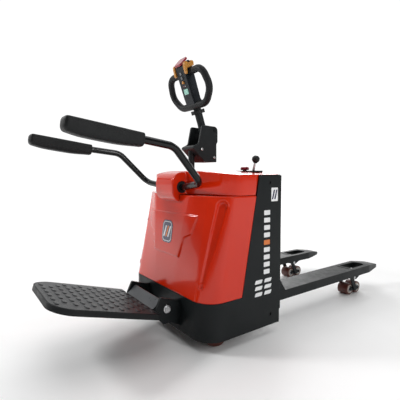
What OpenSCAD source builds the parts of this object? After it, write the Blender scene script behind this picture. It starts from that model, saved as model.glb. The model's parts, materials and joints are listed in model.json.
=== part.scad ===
// Electric pallet truck: tandem load rollers, tiller, two side arms and a folding platform.
// +Y runs from the operator towards the fork tips, +Z is up and the floor is z = 0.
// The forks are modelled near the top of their lift, and the platform at its sprung height.

/* [Drive section] */
// Overall width over the side sheets
chassis_w = 796; // [740:1:900]
// Length from the front skirt to the rear face
chassis_l = 500; // [480:1:560]
// Height of the side sheets
side_h = 861; // [820:1:950]
// Gap between the skirt and the floor
ground_gap = 55; // [40:1:70]
// Top of the black skirt
skirt_top = 245; // [225:1:270]
// Sheet thickness of skirt and side sheets
sheet = 8; // [5:0.5:10]
// Plan radius of the skirt's front corners
skirt_r = 110; // [90:1:115]

/* [Covers] */
// Height of the seam between front cover and hood
seam_z = 757; // [740:1:790]
// Height of the hood's crown over the side sheets
crown = 22; // [10:1:30]
// Wall of the moulded covers
cover_wall = 5; // [4:0.5:8]
// Gap between neighbouring covers
cover_gap = 1.5; // [1:0.5:3]
// Half width of the nose that carries the side arms
nose_w = 90; // [75:1:100]
// Radius of the nose's round front
nose_r = 63; // [55:1:68]

/* [Forks] */
// Fork length from the rear face to the tips
fork_l = 1220; // [1100:1:1400]
// Width over both forks
forks_w = 684; // [640:1:700]
// Width of one fork
fork_w = 154; // [150:1:165]
// Height of the fork tops with the forks raised
fork_top = 194; // [190:1:200]
// Depth of a fork
fork_t = 53; // [50:1:58]
// Plate thickness of the forks
fork_plate = 8; // [6:0.5:9]
// Lift travel
lift = 110; // [100:1:115]

/* [Load wheels] */
// Radius of a load roller
roller_r = 40; // [37:0.5:41]
// Width of a load roller
roller_w = 76; // [60:1:78]
// Distance between the two rollers of a bogie
roller_pitch = 87; // [84:0.5:90]
// Distance of the load wheel pivot from the rear face
wheel_pivot_y = 850; // [700:1:860]
// Height of the load wheel pivot, forks raised
wheel_pivot_z = 134; // [132:1:136]
// Horizontal distance from pivot to bogie centre, forks raised
wheel_reach = 52.5; // [48:0.5:56]
// Radius of the push rod cranks
crank_r = 32; // [28:1:34]

/* [Drive and stabilisers] */
// Radius of the drive wheel
drive_r = 115; // [105:1:125]
// Width of the drive wheel
drive_w = 75; // [60:1:85]
// Distance of the steering axis in front of the rear face
steer_y = 305; // [300:1:315]
// Radius of a stabiliser wheel
caster_r = 57.5; // [50:0.5:58]
// Width of a stabiliser wheel
caster_w = 48; // [36:1:50]
// Trail of a stabiliser wheel
trail = 22; // [15:1:24]

/* [Platform] */
// Distance of the platform hinge in front of the chassis
hinge_reach = 77; // [72:1:120]
// Height of the platform hinge
hinge_z = 189; // [180:1:205]
// Tilt of the unloaded platform
platform_tilt = 16.5; // [5:0.5:20]
// Reach of the platform from its hinge
platform_reach = 576; // [450:1:620]
// Width of the platform
platform_w = 472; // [440:1:500]
// Thickness of the platform tray
tray_t = 30; // [26:1:40]

/* [Side arms] */
// Diameter of the side arm tubes
arm_d = 35; // [28:0.5:38]
// Length of an arm pad
pad_l = 334; // [280:1:360]
// Width of an arm pad
pad_w = 76; // [60:1:85]
// Thickness of an arm pad
pad_t = 56; // [50:1:62]

/* [Tiller] */
// Forward lean of the tiller at rest
tiller_lean = 18.5; // [5:0.5:25]
// Diameter of the tiller tube
tiller_d = 45; // [36:1:50]
// Half width of the tiller bracket
bracket_w = 60; // [54:1:70]
// Half width of the grip loop
loop_w = 172; // [150:1:190]
// Diameter of the grip loop
loop_d = 34; // [26:1:36]

/* [Hidden] */
$fn = 48;
fit = 0.05;                         // radial clearance of a running fit
air = 0.6;                          // gap between parts that pass each other

half_w = chassis_w / 2;
mat_t = 6;                          // thickness of the platform mat
mat_drop = 10;                      // distance from the hinge axis down to the mat's surface
tray_base = mat_drop + tray_t;      // distance from the hinge axis down to the tray's underside
hinge_y = chassis_l + hinge_reach;   // platform hinge, in front of the rear face
front_reach = hinge_y + platform_reach * cos(platform_tilt) + tray_base * sin(platform_tilt);
face_y = (front_reach - fork_l) / 2; // puts the middle of the truck's length at y = 0

black = [0.09, 0.10, 0.11];
dark = [0.16, 0.17, 0.18];
red = [0.86, 0.20, 0.08];
steel = [0.70, 0.71, 0.72];
amber = [0.85, 0.60, 0.12];
urethane = [0.35, 0.13, 0.08];

// Moves a part drawn from the rear face of the drive section into the truck's frame.
module at_face() translate([0, face_y, 0]) children();

// Extrudes an outline drawn in (y, z) along X, centred on x = mid.
module slab(mid, width) translate([mid - width / 2, 0, 0]) rotate([90, 0, 90]) linear_extrude(width) children();

// A cylinder along X, centred on x = mid.
module rod_x(mid, length, r) translate([mid - length / 2, 0, 0]) rotate([0, 90, 0]) cylinder(h = length, r = r);

module at_yz(y, z) translate([0, y, z]) children();

function unit(v) = v / norm(v);
function xy(p) = [p[0], p[1]];
function angle_between(u, v) = acos(max(-1, min(1, u * v)));

// Points of the arc of radius r that rounds corner b between a and c, in 2D or 3D.
function arc_at(a, b, c, r, n) = r <= 0 ? [b] :
    let (u = unit(a - b), v = unit(c - b), half = angle_between(u, v) / 2,
        centre = b + unit(u + v) * r / sin(half),
        from = b + u * r / tan(half) - centre, to = b + v * r / tan(half) - centre)
    [for (i = [0:n]) centre + r * unit(from * (1 - i / n) + to * i / n)];

// A closed outline of [x, y, corner radius] with its corners rounded.
function rounded(p, n = 7) = let (k = len(p))
    [for (i = [0:k - 1]) each arc_at(xy(p[(i + k - 1) % k]), xy(p[i]), xy(p[(i + 1) % k]), p[i][2], n)];

// An open 3D path with each inner corner rounded to its own radius.
function bent(p, radii, n = 7) = let (k = len(p))
    [p[0], for (i = [1:k - 2]) each arc_at(p[i - 1], p[i], p[i + 1], radii[i - 1], n), p[k - 1]];

// A round bar along a 3D path. ref is a direction that the path never takes.
module swept(path, r, ref, sides = 16) {
    k = len(path);
    rings = [for (i = [0:k - 1])
        let (t = unit(path[min(i + 1, k - 1)] - path[max(i - 1, 0)]), n = unit(cross(t, ref)), b = cross(t, n))
        each [for (j = [0:sides - 1]) path[i] + r * (cos(360 * j / sides) * n + sin(360 * j / sides) * b)]];
    walls = [for (i = [0:k - 2], j = [0:sides - 1])
        let (a = i * sides + j, b = i * sides + (j + 1) % sides)
        each [[a, b, b + sides], [a, b + sides, a + sides]]];
    caps = [[for (j = [sides - 1:-1:0]) j], [for (j = [0:sides - 1]) (k - 1) * sides + j]];
    polyhedron(points = rings, faces = concat(walls, caps));
}

// ---- Drive section: black sheet shell -------------------------------------------------

plug_at = [[-82, side_h - 41], [-70, 115]];   // holes in the side sheets, [y, z]
plate_lean_y = [273, 156];          // front edge of a side sheet: at skirt_top, and at side_h

module skirt_outline(inset) {
    w = half_w - inset;
    l = chassis_l - inset;
    polygon(rounded([[-w, 0, 0], [-w, -l, skirt_r - inset], [w, -l, skirt_r - inset], [w, 0, 0]], 10));
}

module chassis_shell() color(black) at_face() difference() {
    union() {
        difference() {
            translate([0, 0, ground_gap]) linear_extrude(skirt_top - ground_gap) skirt_outline(0);
            translate([0, 1, 0]) linear_extrude(side_h) skirt_outline(sheet);
        }
        for (s = [-1, 1]) slab(s * (half_w - sheet / 2), sheet)
            polygon(rounded([[0, skirt_top, 0], [-plate_lean_y[0], skirt_top, 0],
                [-plate_lean_y[1], side_h, 3], [0, side_h, 3]], 3));
    }
    for (at = plug_at) at_yz(at[0], at[1]) rod_x(0, chassis_w + 2, 9);
}

// ---- Drive section: inner frame with the turntable seat, caster plates and guide beams --

shelf_z = 287;                      // top of the shelf that carries the steering bearing
shelf_t = 10;
turn_r = 118;                       // radius of the drive unit's turntable
caster_x = half_w - 99;
caster_y = chassis_l - 100;
caster_plate_z = 176;               // underside of the caster plates
inner_w = half_w - sheet;
cylinder_y = 62;                    // lift cylinder, in front of the rear face
barrel_r = 31;
rod_d = 36;
lug_z = 680;                        // underside of the fork frame's lifting lug

module chassis_frame() color(dark) at_face() difference() {
    union() {
        translate([0, 0, shelf_z - shelf_t]) linear_extrude(shelf_t) intersection() {
            polygon(plan_low(sheet + 6));
            translate([-half_w, -chassis_l + 70]) square([2 * half_w, chassis_l - 70 - 62]);
        }
        translate([-inner_w, -80, shelf_z - shelf_t]) cube([2 * inner_w, 80 - 12, shelf_t]);
        for (s = [-1, 1]) {
            translate([s * (inner_w - 78) - 54, -chassis_l + 64, caster_plate_z]) cube([108, 131, 8]);
            translate([s * (inner_w - 30) - 5, -chassis_l + 105, caster_plate_z + 8])
                cube([10, 90, shelf_z - caster_plate_z - 8 - shelf_t]);
            translate([s * 320 - 5, -75, 70]) cube([10, 60, shelf_z - 70 - shelf_t]);
        }
        for (z = [480, 712]) translate([-inner_w, -16, z]) cube([2 * inner_w, 8, z > 600 ? 40 : 30]);
    }
    at_yz(-steer_y, 0) cylinder(h = 400, r = turn_r + 20);
    for (s = [-1, 1]) translate([s * caster_x, -caster_y, 0]) cylinder(h = 400, r = 9);
    at_yz(-cylinder_y, 0) cylinder(h = 400, r = barrel_r + 2);
}

module steering_bearing() color(steel) at_face() at_yz(-steer_y, shelf_z) difference() {
    cylinder(h = 16, r = turn_r + 34);
    translate([0, 0, -1]) cylinder(h = 18, r = turn_r + fit);
}

module lift_rails() color(steel) at_face()
    for (s = [-1, 1]) translate([s * 150 - 15, -46, shelf_z]) cube([30, 30, 480]);

// ---- Red covers -------------------------------------------------------------------------

front_high = chassis_l - 60;                   // cover front at the seam
crease_low = 94;                    // half width of the flat front panel, low and high
crease_high = 194;
side_turn_y = chassis_l - 160;                  // where the high corner facet meets the side

// Plan of the front cover at the skirt and at the seam, moved in by i.
function plan_low(i) = let (w = half_w - 0.5 - i, f = chassis_l - 1 - i)
    rounded([[w, -60, 0], [w, -f, skirt_r - i], [crease_low, -f, 0], [-crease_low, -f, 0],
        [-w, -f, skirt_r - i], [-w, -60, 0]], 8);
function plan_high(i) = let (w = half_w - 0.5 - i, f = front_high - i, bulge = [crease_high + 100, f - 34])
    rounded([[w, -60, 0], [w, -side_turn_y - 14 + i, 60], [bulge[0], -bulge[1], 90], [crease_high, -f, 30],
        [-crease_high, -f, 30], [-bulge[0], -bulge[1], 90], [-w, -side_turn_y - 14 + i, 60], [-w, -60, 0]], 5);

module cover_body(i, z0, z1) hull() {
    translate([0, 0, z0]) linear_extrude(0.5) polygon(plan_low(i));
    translate([0, 0, z1 - 0.5]) linear_extrude(0.5) polygon(plan_high(i));
}

// Everything behind the slanted front edge of the side sheets, plus a gap.
module behind_side_edge(gap) slab(0, chassis_w + 40)
    polygon([[-plate_lean_y[0] - gap, skirt_top - 60], [-plate_lean_y[0] - gap, skirt_top],
        [-plate_lean_y[1] - gap, side_h + 40], [200, side_h + 40], [200, skirt_top - 60]]);

shield = [[-205, 646, 8], [205, 646, 12], [178, 560, 6], [126, 530, 6], [88, 398, 6],
    [-88, 398, 6], [-126, 530, 6], [-178, 560, 6]];

module front_cover() color(red) at_face() difference() {
    union() {
        cover_body(0, skirt_top + cover_gap, seam_z);
        intersection() {
            rotate([90, 0, 0]) linear_extrude(chassis_l + 5) polygon(rounded(shield, 4));
            translate([0, -4, 0]) cover_body(0, skirt_top + cover_gap, seam_z);
        }
    }
    cover_body(cover_wall, skirt_top - 1, seam_z - cover_wall);
    translate([0, 0, skirt_top - 1]) linear_extrude(cover_wall + 4) polygon(plan_low(cover_wall));
    translate([-half_w + 40, -330, seam_z - 20]) cube([2 * half_w - 80, 330, 40]);
    behind_side_edge(cover_gap);
}

hood_front_y = chassis_l - 100;                 // face of the hood beside the nose
hood_inner_w = half_w - sheet - cover_gap;
arm_axis_y = chassis_l - 73;
arm_axis_z = side_h - 64;
bush_r = 32;

module hood_plan(i) let (w = half_w - 0.5 - i, turn = side_turn_y - 2 - i, front = hood_front_y - i)
    polygon(rounded([[w, -plate_lean_y[1] - 20, 0], [w, -turn, 90], [nose_w, -front, 0],
        [-nose_w, -front, 0], [-w, -turn, 90], [-w, -plate_lean_y[1] - 20, 0]], 8));

module hood_slab(i, z0) intersection() {
    translate([0, 0, z0]) linear_extrude(side_h + crown - z0) {
        hood_plan(i);
        translate([-hood_inner_w + i, -plate_lean_y[1] - 30]) square([2 * (hood_inner_w - i), plate_lean_y[1] + 26 - i]);
    }
    translate([0, 20, 0]) rotate([90, 0, 0]) linear_extrude(600)
        polygon([[-half_w, z0 - 1], [half_w, z0 - 1],
            for (t = [8:-1:-8]) [half_w * t / 8, side_h + 1 - i + crown * (1 - pow(abs(t) / 8, 2.4))]]);
}

nose_low_z = arm_axis_z - 17;                   // centres of the nose's two end radii
nose_high_z = arm_axis_z + 17;

module nose(i) slab(0, 2 * (nose_w - i)) {
    translate([-arm_axis_y, nose_low_z]) circle(r = nose_r - i);
    translate([-arm_axis_y, nose_high_z]) circle(r = nose_r - i);
    translate([-arm_axis_y - nose_r + i, nose_low_z]) square([2 * (nose_r - i), nose_high_z - nose_low_z]);
    translate([-arm_axis_y, nose_low_z - 30 + i]) square([60, nose_high_z + nose_r - nose_low_z + 30 - 2 * i]);
}

deck_z = side_h + crown;
button_x = 190;                     // emergency button and lever on the deck
lever_x = 256;
deck_y = 66;

module top_cover() color(red) at_face() difference() {
    union() {
        difference() {
            union() {
                hood_slab(0, seam_z + cover_gap);
                nose(0);
            }
            hood_slab(cover_wall, seam_z - 1);
            nose(cover_wall);
            translate([0, 0, seam_z - 2]) linear_extrude(cover_wall + 4)
                translate([-hood_inner_w + 6, -300]) square([2 * hood_inner_w - 12, 290]);
        }
        for (s = [-1, 1]) at_yz(-arm_axis_y, arm_axis_z) rod_x(s * (nose_w - 20), 40, bush_r + 6);
    }
    translate([-nose_w - 1, -front_high - 6, seam_z - 60]) cube([2 * nose_w + 2, 200, 60 + cover_gap]);
    at_yz(-arm_axis_y, arm_axis_z) rod_x(0, 2 * nose_w + 2, bush_r);
    at_yz(-steer_y, seam_z) cylinder(h = 2 * side_h, r = 30);
    translate([button_x, -deck_y, deck_z - 60]) cylinder(h = 200, r = 14);
    translate([lever_x, -deck_y, deck_z - 60]) cylinder(h = 200, r = 20);
    behind_side_edge_strip();
}

// Trims the hood's wide part back to the slanted edge of the side sheets.
module behind_side_edge_strip() for (s = [-1, 1]) intersection() {
    behind_side_edge(cover_gap);
    translate([s * (half_w - sheet / 2) - sheet / 2 - cover_gap, -300, seam_z - 5])
        cube([sheet + 2 * cover_gap, 320, 200]);
}

module arm_bushes() color(dark) at_face() at_yz(-arm_axis_y, arm_axis_z)
    for (s = [-1, 1]) difference() {
        rod_x(s * (nose_w - 22), 36, bush_r - fit);
        rod_x(s * (nose_w - 22), 38, arm_d / 2 + fit);
    }

module cover_screws() color(steel) at_face() for (s = [-1, 1], at = plug_at) at_yz(at[0], at[1]) {
    rod_x(s * (inner_w - 0.65), 1.2, 14);
    rod_x(s * (inner_w + 1.2), 4.8, 8.95);
}

// ---- Inside the covers ---------------------------------------------------------------

module battery_pack() color([0.20, 0.30, 0.38]) at_face() difference() {
    union() {
        translate([-inner_w + 14, -330, shelf_z + 1]) cube([200, 235, 400]);
        translate([-inner_w + 40, -300, shelf_z + 401]) cube([60, 40, 20]);
    }
    for (z = [60:80:380]) translate([-inner_w + 10, -334, shelf_z + z]) cube([210, 6, 6]);
}

module motor_controller() color([0.55, 0.56, 0.58]) at_face() translate([inner_w - 214, -330, 600]) {
    cube([200, 235, 16]);
    for (k = [0:9]) translate([6 + k * 20, 4, 16]) cube([6, 225, 34]);
    translate([30, 30, -44]) cube([140, 170, 44]);
}

module hydraulic_unit() color([0.30, 0.31, 0.33]) at_face() {
    translate([inner_w - 100, -210, shelf_z + 1]) cylinder(h = 80, r = 62);
    translate([inner_w - 100, -210, shelf_z + 81]) cylinder(h = 28, r = 68);
    translate([inner_w - 100, -210, shelf_z + 109]) cylinder(h = 120, r = 52);
    translate([inner_w - 200, -240, shelf_z + 60]) cube([48, 60, 60]);
    translate([inner_w - 160, -225, shelf_z + 80]) cube([40, 30, 20]);
}

module lift_cylinder() color(black) at_face() at_yz(-cylinder_y, 205) difference() {
    union() {
        cylinder(h = 350, r = barrel_r);
        translate([0, 0, 340]) cylinder(h = 22, r = barrel_r + 5);
        translate([0, 0, shelf_z - 205]) cylinder(h = 10, r = barrel_r + 15);
        translate([-22, -22, 20]) rotate([0, -90, 0]) cylinder(h = 24, r = 12);
    }
    translate([0, 0, 12]) cylinder(h = 400, r = rod_d / 2 + fit);
}

module piston_rod() color(steel) at_face() at_yz(-cylinder_y, 340) cylinder(h = lug_z - 340, r = rod_d / 2);

module switch_plate() color(dark) at_face() difference() {
    translate([0, 0, deck_z - 20]) linear_extrude(20.5)
        polygon(rounded([[button_x - 42, -deck_y - 38, 12], [lever_x + 44, -deck_y - 38, 12],
            [lever_x + 44, -deck_y + 38, 12], [button_x - 42, -deck_y + 38, 12]], 5));
    hood_slab(-0.2, seam_z);
    translate([button_x, -deck_y, deck_z - 60]) cylinder(h = 200, r = 12);
    translate([lever_x, -deck_y, deck_z - 60]) cylinder(h = 200, r = 18);
}

// ---- Steered unit: column, tiller bracket, motor and gearbox ------------------------------

module steering_column() color(black) at_face() at_yz(-steer_y, 0) {
    translate([0, 0, 560]) cylinder(h = deck_z + 117 - 560, r = 18);
    translate([0, 0, 552]) cylinder(h = 12, r = 52);
}

pivot_y = 180;                      // tiller pivot
pivot_z = deck_z + 236;

// Side view of the bracket, heights above the deck.
function bracket_profile() = rounded([[-168, 52, 4], [-168, 157, 6], [-160, 169, 6], [-160, 256, 22],
    [-262, 260, 12], [-272, 256, 8], [-294, 157, 14], [-330, 139, 8], [-338, 131, 8], [-252, 52, 6]], 4);

module tiller_bracket() color(dark) at_face() difference() {
    translate([0, 0, deck_z]) slab(0, 2 * bracket_w) polygon(bracket_profile());
    translate([0, 0, deck_z]) slab(0, 2 * (bracket_w - 12)) polygon(rounded([[-100, 317, 0], [-100, 193, 0],
        [-174, 187, 6], [-206, 147, 12], [-400, 147, 0], [-400, 317, 0]], 4));
    at_yz(-pivot_y, pivot_z) rod_x(0, 2 * bracket_w + 2, 10);
    at_yz(-steer_y, deck_z) cylinder(h = 118, r = 18.05);
}

module drive_motor() color([0.35, 0.36, 0.37]) at_face() at_yz(-steer_y, 0) {
    translate([0, 0, shelf_z + 24]) cylinder(h = 175, r = 76);
    for (z = [0:14:154]) translate([0, 0, shelf_z + 30 + z]) cylinder(h = 6, r = 82);
    translate([0, 0, shelf_z + 199]) cylinder(h = 46, r = 58);
    translate([0, 0, shelf_z + 245]) cylinder(h = 552 - shelf_z - 245, r = 30);
}

gear_x = drive_w / 2 + 8;

module gearbox() color([0.45, 0.46, 0.47]) at_face() at_yz(-steer_y, 0) difference() {
    union() {
        translate([0, 0, shelf_z - 20]) cylinder(h = 44, r = turn_r);
        intersection() {
            translate([-gear_x - 34, -66, 45]) cube([34, 132, shelf_z - 55]);
            union() {
                at_yz(0, drive_r) rod_x(-gear_x - 17, 40, 66);
                translate([-gear_x - 40, -60, drive_r]) cube([50, 120, shelf_z]);
            }
        }
        at_yz(0, drive_r) rod_x(-gear_x / 2 + 6, gear_x + 14, 22);
    }
}

module drive_tyre() color(urethane) at_face() at_yz(-steer_y, drive_r) rotate([0, 90, 0]) rotate_extrude($fn = 72)
    polygon(rounded([[drive_r - 28, -drive_w / 2, 0], [drive_r, -drive_w / 2, 8],
        [drive_r, drive_w / 2, 8], [drive_r - 28, drive_w / 2, 0]], 4));

module drive_hub() color(steel) at_face() at_yz(-steer_y, drive_r) difference() {
    rod_x(0, drive_w - 4, drive_r - 28);
    rod_x(drive_w / 2, 30, drive_r - 44);
    rod_x(0, drive_w, 22 + fit);
    for (a = [0:72:359]) rotate([a, 0, 0]) at_yz(0, 46) rod_x(0, drive_w, 6.5);
}

// ---- Stabiliser casters ---------------------------------------------------------------------

rest_turn = 145;                    // plan direction of the trailing wheels at rest
caster_drop = caster_plate_z - 2;

module caster_yoke(s) color(dark) at_face() translate([s * caster_x, -caster_y, 0]) rotate([0, 0, s * rest_turn]) {
    translate([0, 0, caster_drop - 14]) cylinder(h = 14, r = 34);
    translate([0, 0, caster_drop - 1]) cylinder(h = 24, r = 9 - fit);
    for (k = [-1, 1]) slab(k * (caster_w / 2 + 5), 7) polygon(rounded([[-trail - 16, caster_r - 16, 15],
        [-trail + 16, caster_r - 16, 15], [26, caster_drop - 4, 0], [-26, caster_drop - 4, 0]], 5));
    at_yz(-trail, caster_r) rod_x(0, caster_w + 17, 8);
}

module caster_wheel(s) color(urethane) at_face() translate([s * caster_x, -caster_y, 0])
    rotate([0, 0, s * rest_turn]) at_yz(-trail, caster_r) rotate([0, 90, 0]) rotate_extrude($fn = 64)
        polygon(rounded([[8 + fit, -caster_w / 2, 0], [26, -caster_w / 2, 0], [caster_r - 1.5, -caster_w / 2 + 3, 0],
            [caster_r, -caster_w / 2 + 10, 4], [caster_r, caster_w / 2 - 10, 4],
            [caster_r - 1.5, caster_w / 2 - 3, 0], [26, caster_w / 2, 0], [8 + fit, caster_w / 2, 0]], 3));

// ---- Tiller -----------------------------------------------------------------------------------

// Moves a part drawn upright over the tiller pivot to its place and lean.
module at_tiller() at_face() at_yz(-pivot_y, pivot_z) rotate([tiller_lean, 0, 0]) children();

shaft_y = 40;                       // the tube runs this far in front of the pivot
head_low = 152;                     // underside and top of the head, above the pivot
head_high = 408;

module tiller_shaft() color(black) at_tiller() {
    translate([0, -shaft_y, 8]) cylinder(h = head_low + 12 - 8, r = tiller_d / 2);
    slab(0, 40) polygon(rounded([[14, -14, 12], [14, 14, 12], [-20, 26, 4], [-58, 26, 4],
        [-58, 4, 8], [-30, -14, 6]], 4));
    rod_x(0, 2 * bracket_w + 4, 10 - fit);
}

module tiller_collar() color(dark) at_tiller() translate([0, -shaft_y, 0]) difference() {
    union() {
        translate([0, 0, 116]) cylinder(h = 16, r = 31);
        translate([-15, 24, 113]) cube([30, 15, 22]);
        translate([-15, -39, 113]) cube([30, 15, 22]);
    }
    translate([0, 0, 100]) cylinder(h = 60, r = tiller_d / 2);
}

head_w = 40;
paddle_y = 56;
paddle_z = 376;
button_z = [298, 322, 346];         // horn, lower and lift buttons, above the pivot
loop_high = 344;                    // middle of the loop's upper bar
screen_z = 247;
cap_lean = 31;                      // slope of the belly button on the head's end

function head_profile() = rounded([[-26, 196, 20], [-26, 396, 10], [-44, head_high, 8], [-88, head_high - 26, 6],
    [-82, 215, 30], [-76, head_low, 10], [-20, head_low, 10], [-18, 176, 10]], 4);

module tiller_head() color(black) at_tiller() difference() {
    slab(0, 2 * head_w) polygon(head_profile());
    translate([0, -shaft_y, 100]) cylinder(h = head_low + 13 - 100, r = tiller_d / 2);
    at_yz(-paddle_y, paddle_z) rod_x(0, 2 * head_w + 2, 9 + fit);
    for (z = button_z) translate([0, -66, z]) rotate([90, 0, 0]) cylinder(h = 40, r = 8.5);
    translate([-20.3, -100, screen_z - 15.3]) cube([40.6, 19.5, 30.6]);
    at_yz(-61, head_high - 10) rotate([cap_lean, 0, 0]) translate([0, 0, -26]) cylinder(h = 60, r = 12);
}

loop_y = 56;

function loop_path() = bent([[0, -loop_y, 162], [loop_w * 0.7, -loop_y, 162], [loop_w + 13, -loop_y, 236],
    [loop_w - 14, -loop_y - 4, loop_high], [head_w - 6, -loop_y + 6, loop_high]], [45, 60, 45], 8);

module handle_loop() color(black) at_tiller() difference() {
    union() for (s = [0, 1]) mirror([s, 0, 0]) swept(loop_path(), loop_d / 2, [0, 1, 0.01], 18);
    slab(0, 2 * head_w) polygon([[-130, 100], [0, 100], [0, 400], [-130, 400]]);
}

module belly_button() color(red) at_tiller() at_yz(-61, head_high - 10) rotate([cap_lean, 0, 0]) {
    translate([-37, -34, 4.5]) linear_extrude(11) polygon(rounded([[0, 0, 14], [74, 0, 14], [74, 64, 14], [0, 64, 14]], 5));
    translate([0, 0, -8]) cylinder(h = 17, r = 11.5);
}

module drive_paddles() color(amber) at_tiller() at_yz(-paddle_y, paddle_z) {
    rod_x(0, 2 * head_w + 30, 9);
    for (s = [-1, 1]) slab(s * (head_w + 11), 16)
        polygon(rounded([[-14, 22, 6], [-30, 24, 8], [-36, 4, 8], [-38, -34, 5], [-30, -46, 4], [-25, -34, 4],
            [-22, -11, 8], [-6, -10, 4], [27, -6, 5], [32, 18, 7], [14, 25, 6], [6, 12, 5], [-6, 12, 4]], 4));
}

module head_button(z) at_tiller() at_yz(-74, z) rotate([90, 0, 0]) cylinder(h = 17, r = 7.8);

module horn_button() color(amber) head_button(button_z[0]);
module lower_button() color(steel) head_button(button_z[1]);
module lift_button() color(steel) head_button(button_z[2]);

module display() color([0.45, 0.70, 0.62]) at_tiller() translate([-20, -84, screen_z - 15]) cube([40, 3.5, 30]);

// ---- Controls on the deck -------------------------------------------------------------------

module emergency_button() color([0.75, 0.08, 0.08]) at_face() translate([button_x, -deck_y, deck_z]) {
    translate([0, 0, 5]) rotate_extrude()
        polygon(rounded([[0, 0, 0], [23, 0, 3], [25.5, 8, 3], [21, 18, 8], [0, 20, 0]], 5));
    translate([0, 0, -34]) cylinder(h = 41, r = 11.4);
}

lever_pivot_z = deck_z - 12;

module at_lever() at_face() translate([lever_x, -deck_y, lever_pivot_z]) rotate([0, 16, 0]) children();

module lever_stem() color(black) {
    at_lever() cylinder(h = 58, r1 = 7.5, r2 = 6, $fn = 32);
    at_face() translate([lever_x, -deck_y, lever_pivot_z]) rod_x(0, 22, 9);
}

module lever_knob() color(black) at_lever() translate([0, 0, 57]) rotate_extrude()
    polygon(rounded([[0, 0, 0], [9, 0, 2], [21, 14, 10], [21, 30, 10], [10, 41, 8], [0, 41, 0]], 6));

// ---- Side arms ----------------------------------------------------------------------------------

// Points of the right arm, from inside its bush to the inner end of its pad.
pad_at = [330, -arm_axis_y - 343, arm_axis_z + 210];   // inner end of the right pad

function arm_path() = [[46, -arm_axis_y, arm_axis_z], [nose_w + 8, -arm_axis_y, arm_axis_z],
    [284, -arm_axis_y - 16, arm_axis_z + 22], [310, -arm_axis_y - 183, arm_axis_z + 193],
    [329, pad_at[1], pad_at[2] + 2], [330, pad_at[1] - 290, pad_at[2] + 41]];

module arm_tube(s) color(black) at_face() mirror([s > 0 ? 0 : 1, 0, 0])
    swept(bent(arm_path(), [60, 55, 90, 60], 8), arm_d / 2, [0.3, 0.6, 0.75], 20);

pad_lean = atan((1056 - 1009) / 340);

module arm_pad(s) color(dark) at_face() mirror([s > 0 ? 0 : 1, 0, 0])
    translate(pad_at) rotate([-pad_lean, 0, 0]) difference() {
        union() {
            translate([0, 0, -pad_t * 0.4]) linear_extrude(pad_t * 0.55)
                polygon(rounded([[-pad_w / 2, 0, 22], [pad_w / 2, 0, 22], [pad_w / 2, -pad_l + 8, 34], [-pad_w / 2, -pad_l + 8, 34]], 6));
            slab(0, pad_w - 16) polygon(rounded([[-6, -pad_t * 0.46, 8], [-6, pad_t / 2, 16],
                [-pad_l + 6, pad_t / 2, 22], [-pad_l + 4, -pad_t * 0.2, 16], [-pad_l * 0.72, -pad_t * 0.66, 60],
                [-pad_l * 0.3, -pad_t * 0.7, 60]], 6));
        }
        translate([0, 1, -6]) rotate([90, 0, 0]) cylinder(h = 296, r = arm_d / 2 + 1.2);
    }

// ---- Platform ---------------------------------------------------------------------------------

ear_t = 16;
ear_mid = 168;                      // mid plane of the hinge ears on the skirt
bolt_r = 10;

module platform_brackets() color(black) at_face() for (s = [-1, 1]) difference() {
    slab(s * ear_mid, ear_t) polygon(rounded([[-chassis_l, hinge_z + 33, 0],
        [51 - hinge_y, hinge_z + 35, 12], [-hinge_y - 35, hinge_z + 65, 8], [-hinge_y - 75, hinge_z - 19, 10],
        [-hinge_y - 23, hinge_z - 73, 6], [25 - hinge_y, hinge_z - 75, 16], [-chassis_l, hinge_z - 105, 0]], 4));
    at_yz(-hinge_y, hinge_z) rod_x(s * ear_mid, 20, bolt_r + 0.02);
}

module platform_bolts() color(steel) at_face() at_yz(-hinge_y, hinge_z) for (s = [-1, 1]) {
    rod_x(s * (ear_mid - 8), 46, bolt_r);
    translate([s * (ear_mid + ear_t / 2 + 4.6), 0, 0]) rotate([0, 90, 0]) cylinder(h = 9, r = 15, center = true, $fn = 6);
}

module at_platform() at_face() at_yz(-hinge_y, hinge_z) rotate([-platform_tilt, 0, 0]) children();

lug_mid = ear_mid - ear_t / 2 - 8;  // mid plane of the platform's hinge lugs
heel_u = 66;                        // the tray starts this far from the hinge

// Plan of the platform with two slots for the ears.
module platform_plan(i) difference() {
    polygon(rounded([[-platform_w / 2 + i, -heel_u - i, 10], [platform_w / 2 - i, -heel_u - i, 10],
        [platform_w / 2 - i, -platform_reach + i, 105 - i], [-platform_w / 2 + i, -platform_reach + i, 105 - i]], 8));
    for (s = [-1, 1]) translate([s * ear_mid - ear_t / 2 - 1.5 - i, -heel_u - 20 - i]) square([ear_t + 3 + 2 * i, 30 + i]);
}

module platform_tray() color(dark) at_platform() difference() {
    union() {
        difference() {
            translate([0, 0, -tray_base]) linear_extrude(tray_t - mat_t + 1) platform_plan(0);
            translate([0, 0, -tray_base - 1]) linear_extrude(tray_t - mat_t - 3) platform_plan(6);
        }
        for (x = [-120, 0, 120]) translate([x - 4, -platform_reach + 20, -tray_base + 4]) cube([8, platform_reach - heel_u - 30, tray_t - mat_t - 6]);
        for (s = [-1, 1]) slab(s * lug_mid, 14)
            polygon(rounded([[17, -17, 16], [17, 17, 16], [-17, 17, 16], [-heel_u - 1, -mat_drop - mat_t - 1, 3],
                [-heel_u - 30, -mat_drop - mat_t - 1, 4],
                [-heel_u - 30, -tray_base + 3, 4], [-14, -tray_base + 8, 4]], 5));
        slab(0, 2 * lug_mid) polygon([[-heel_u - 4.4, -mat_drop - mat_t], [-heel_u + 2, -mat_drop], [-34, 36], [-30, 33],
            [-heel_u + 8, -mat_drop - 8], [-heel_u - 4.4, -mat_drop - 14]]);
    }
    rod_x(0, platform_w, bolt_r + fit);
}

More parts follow.
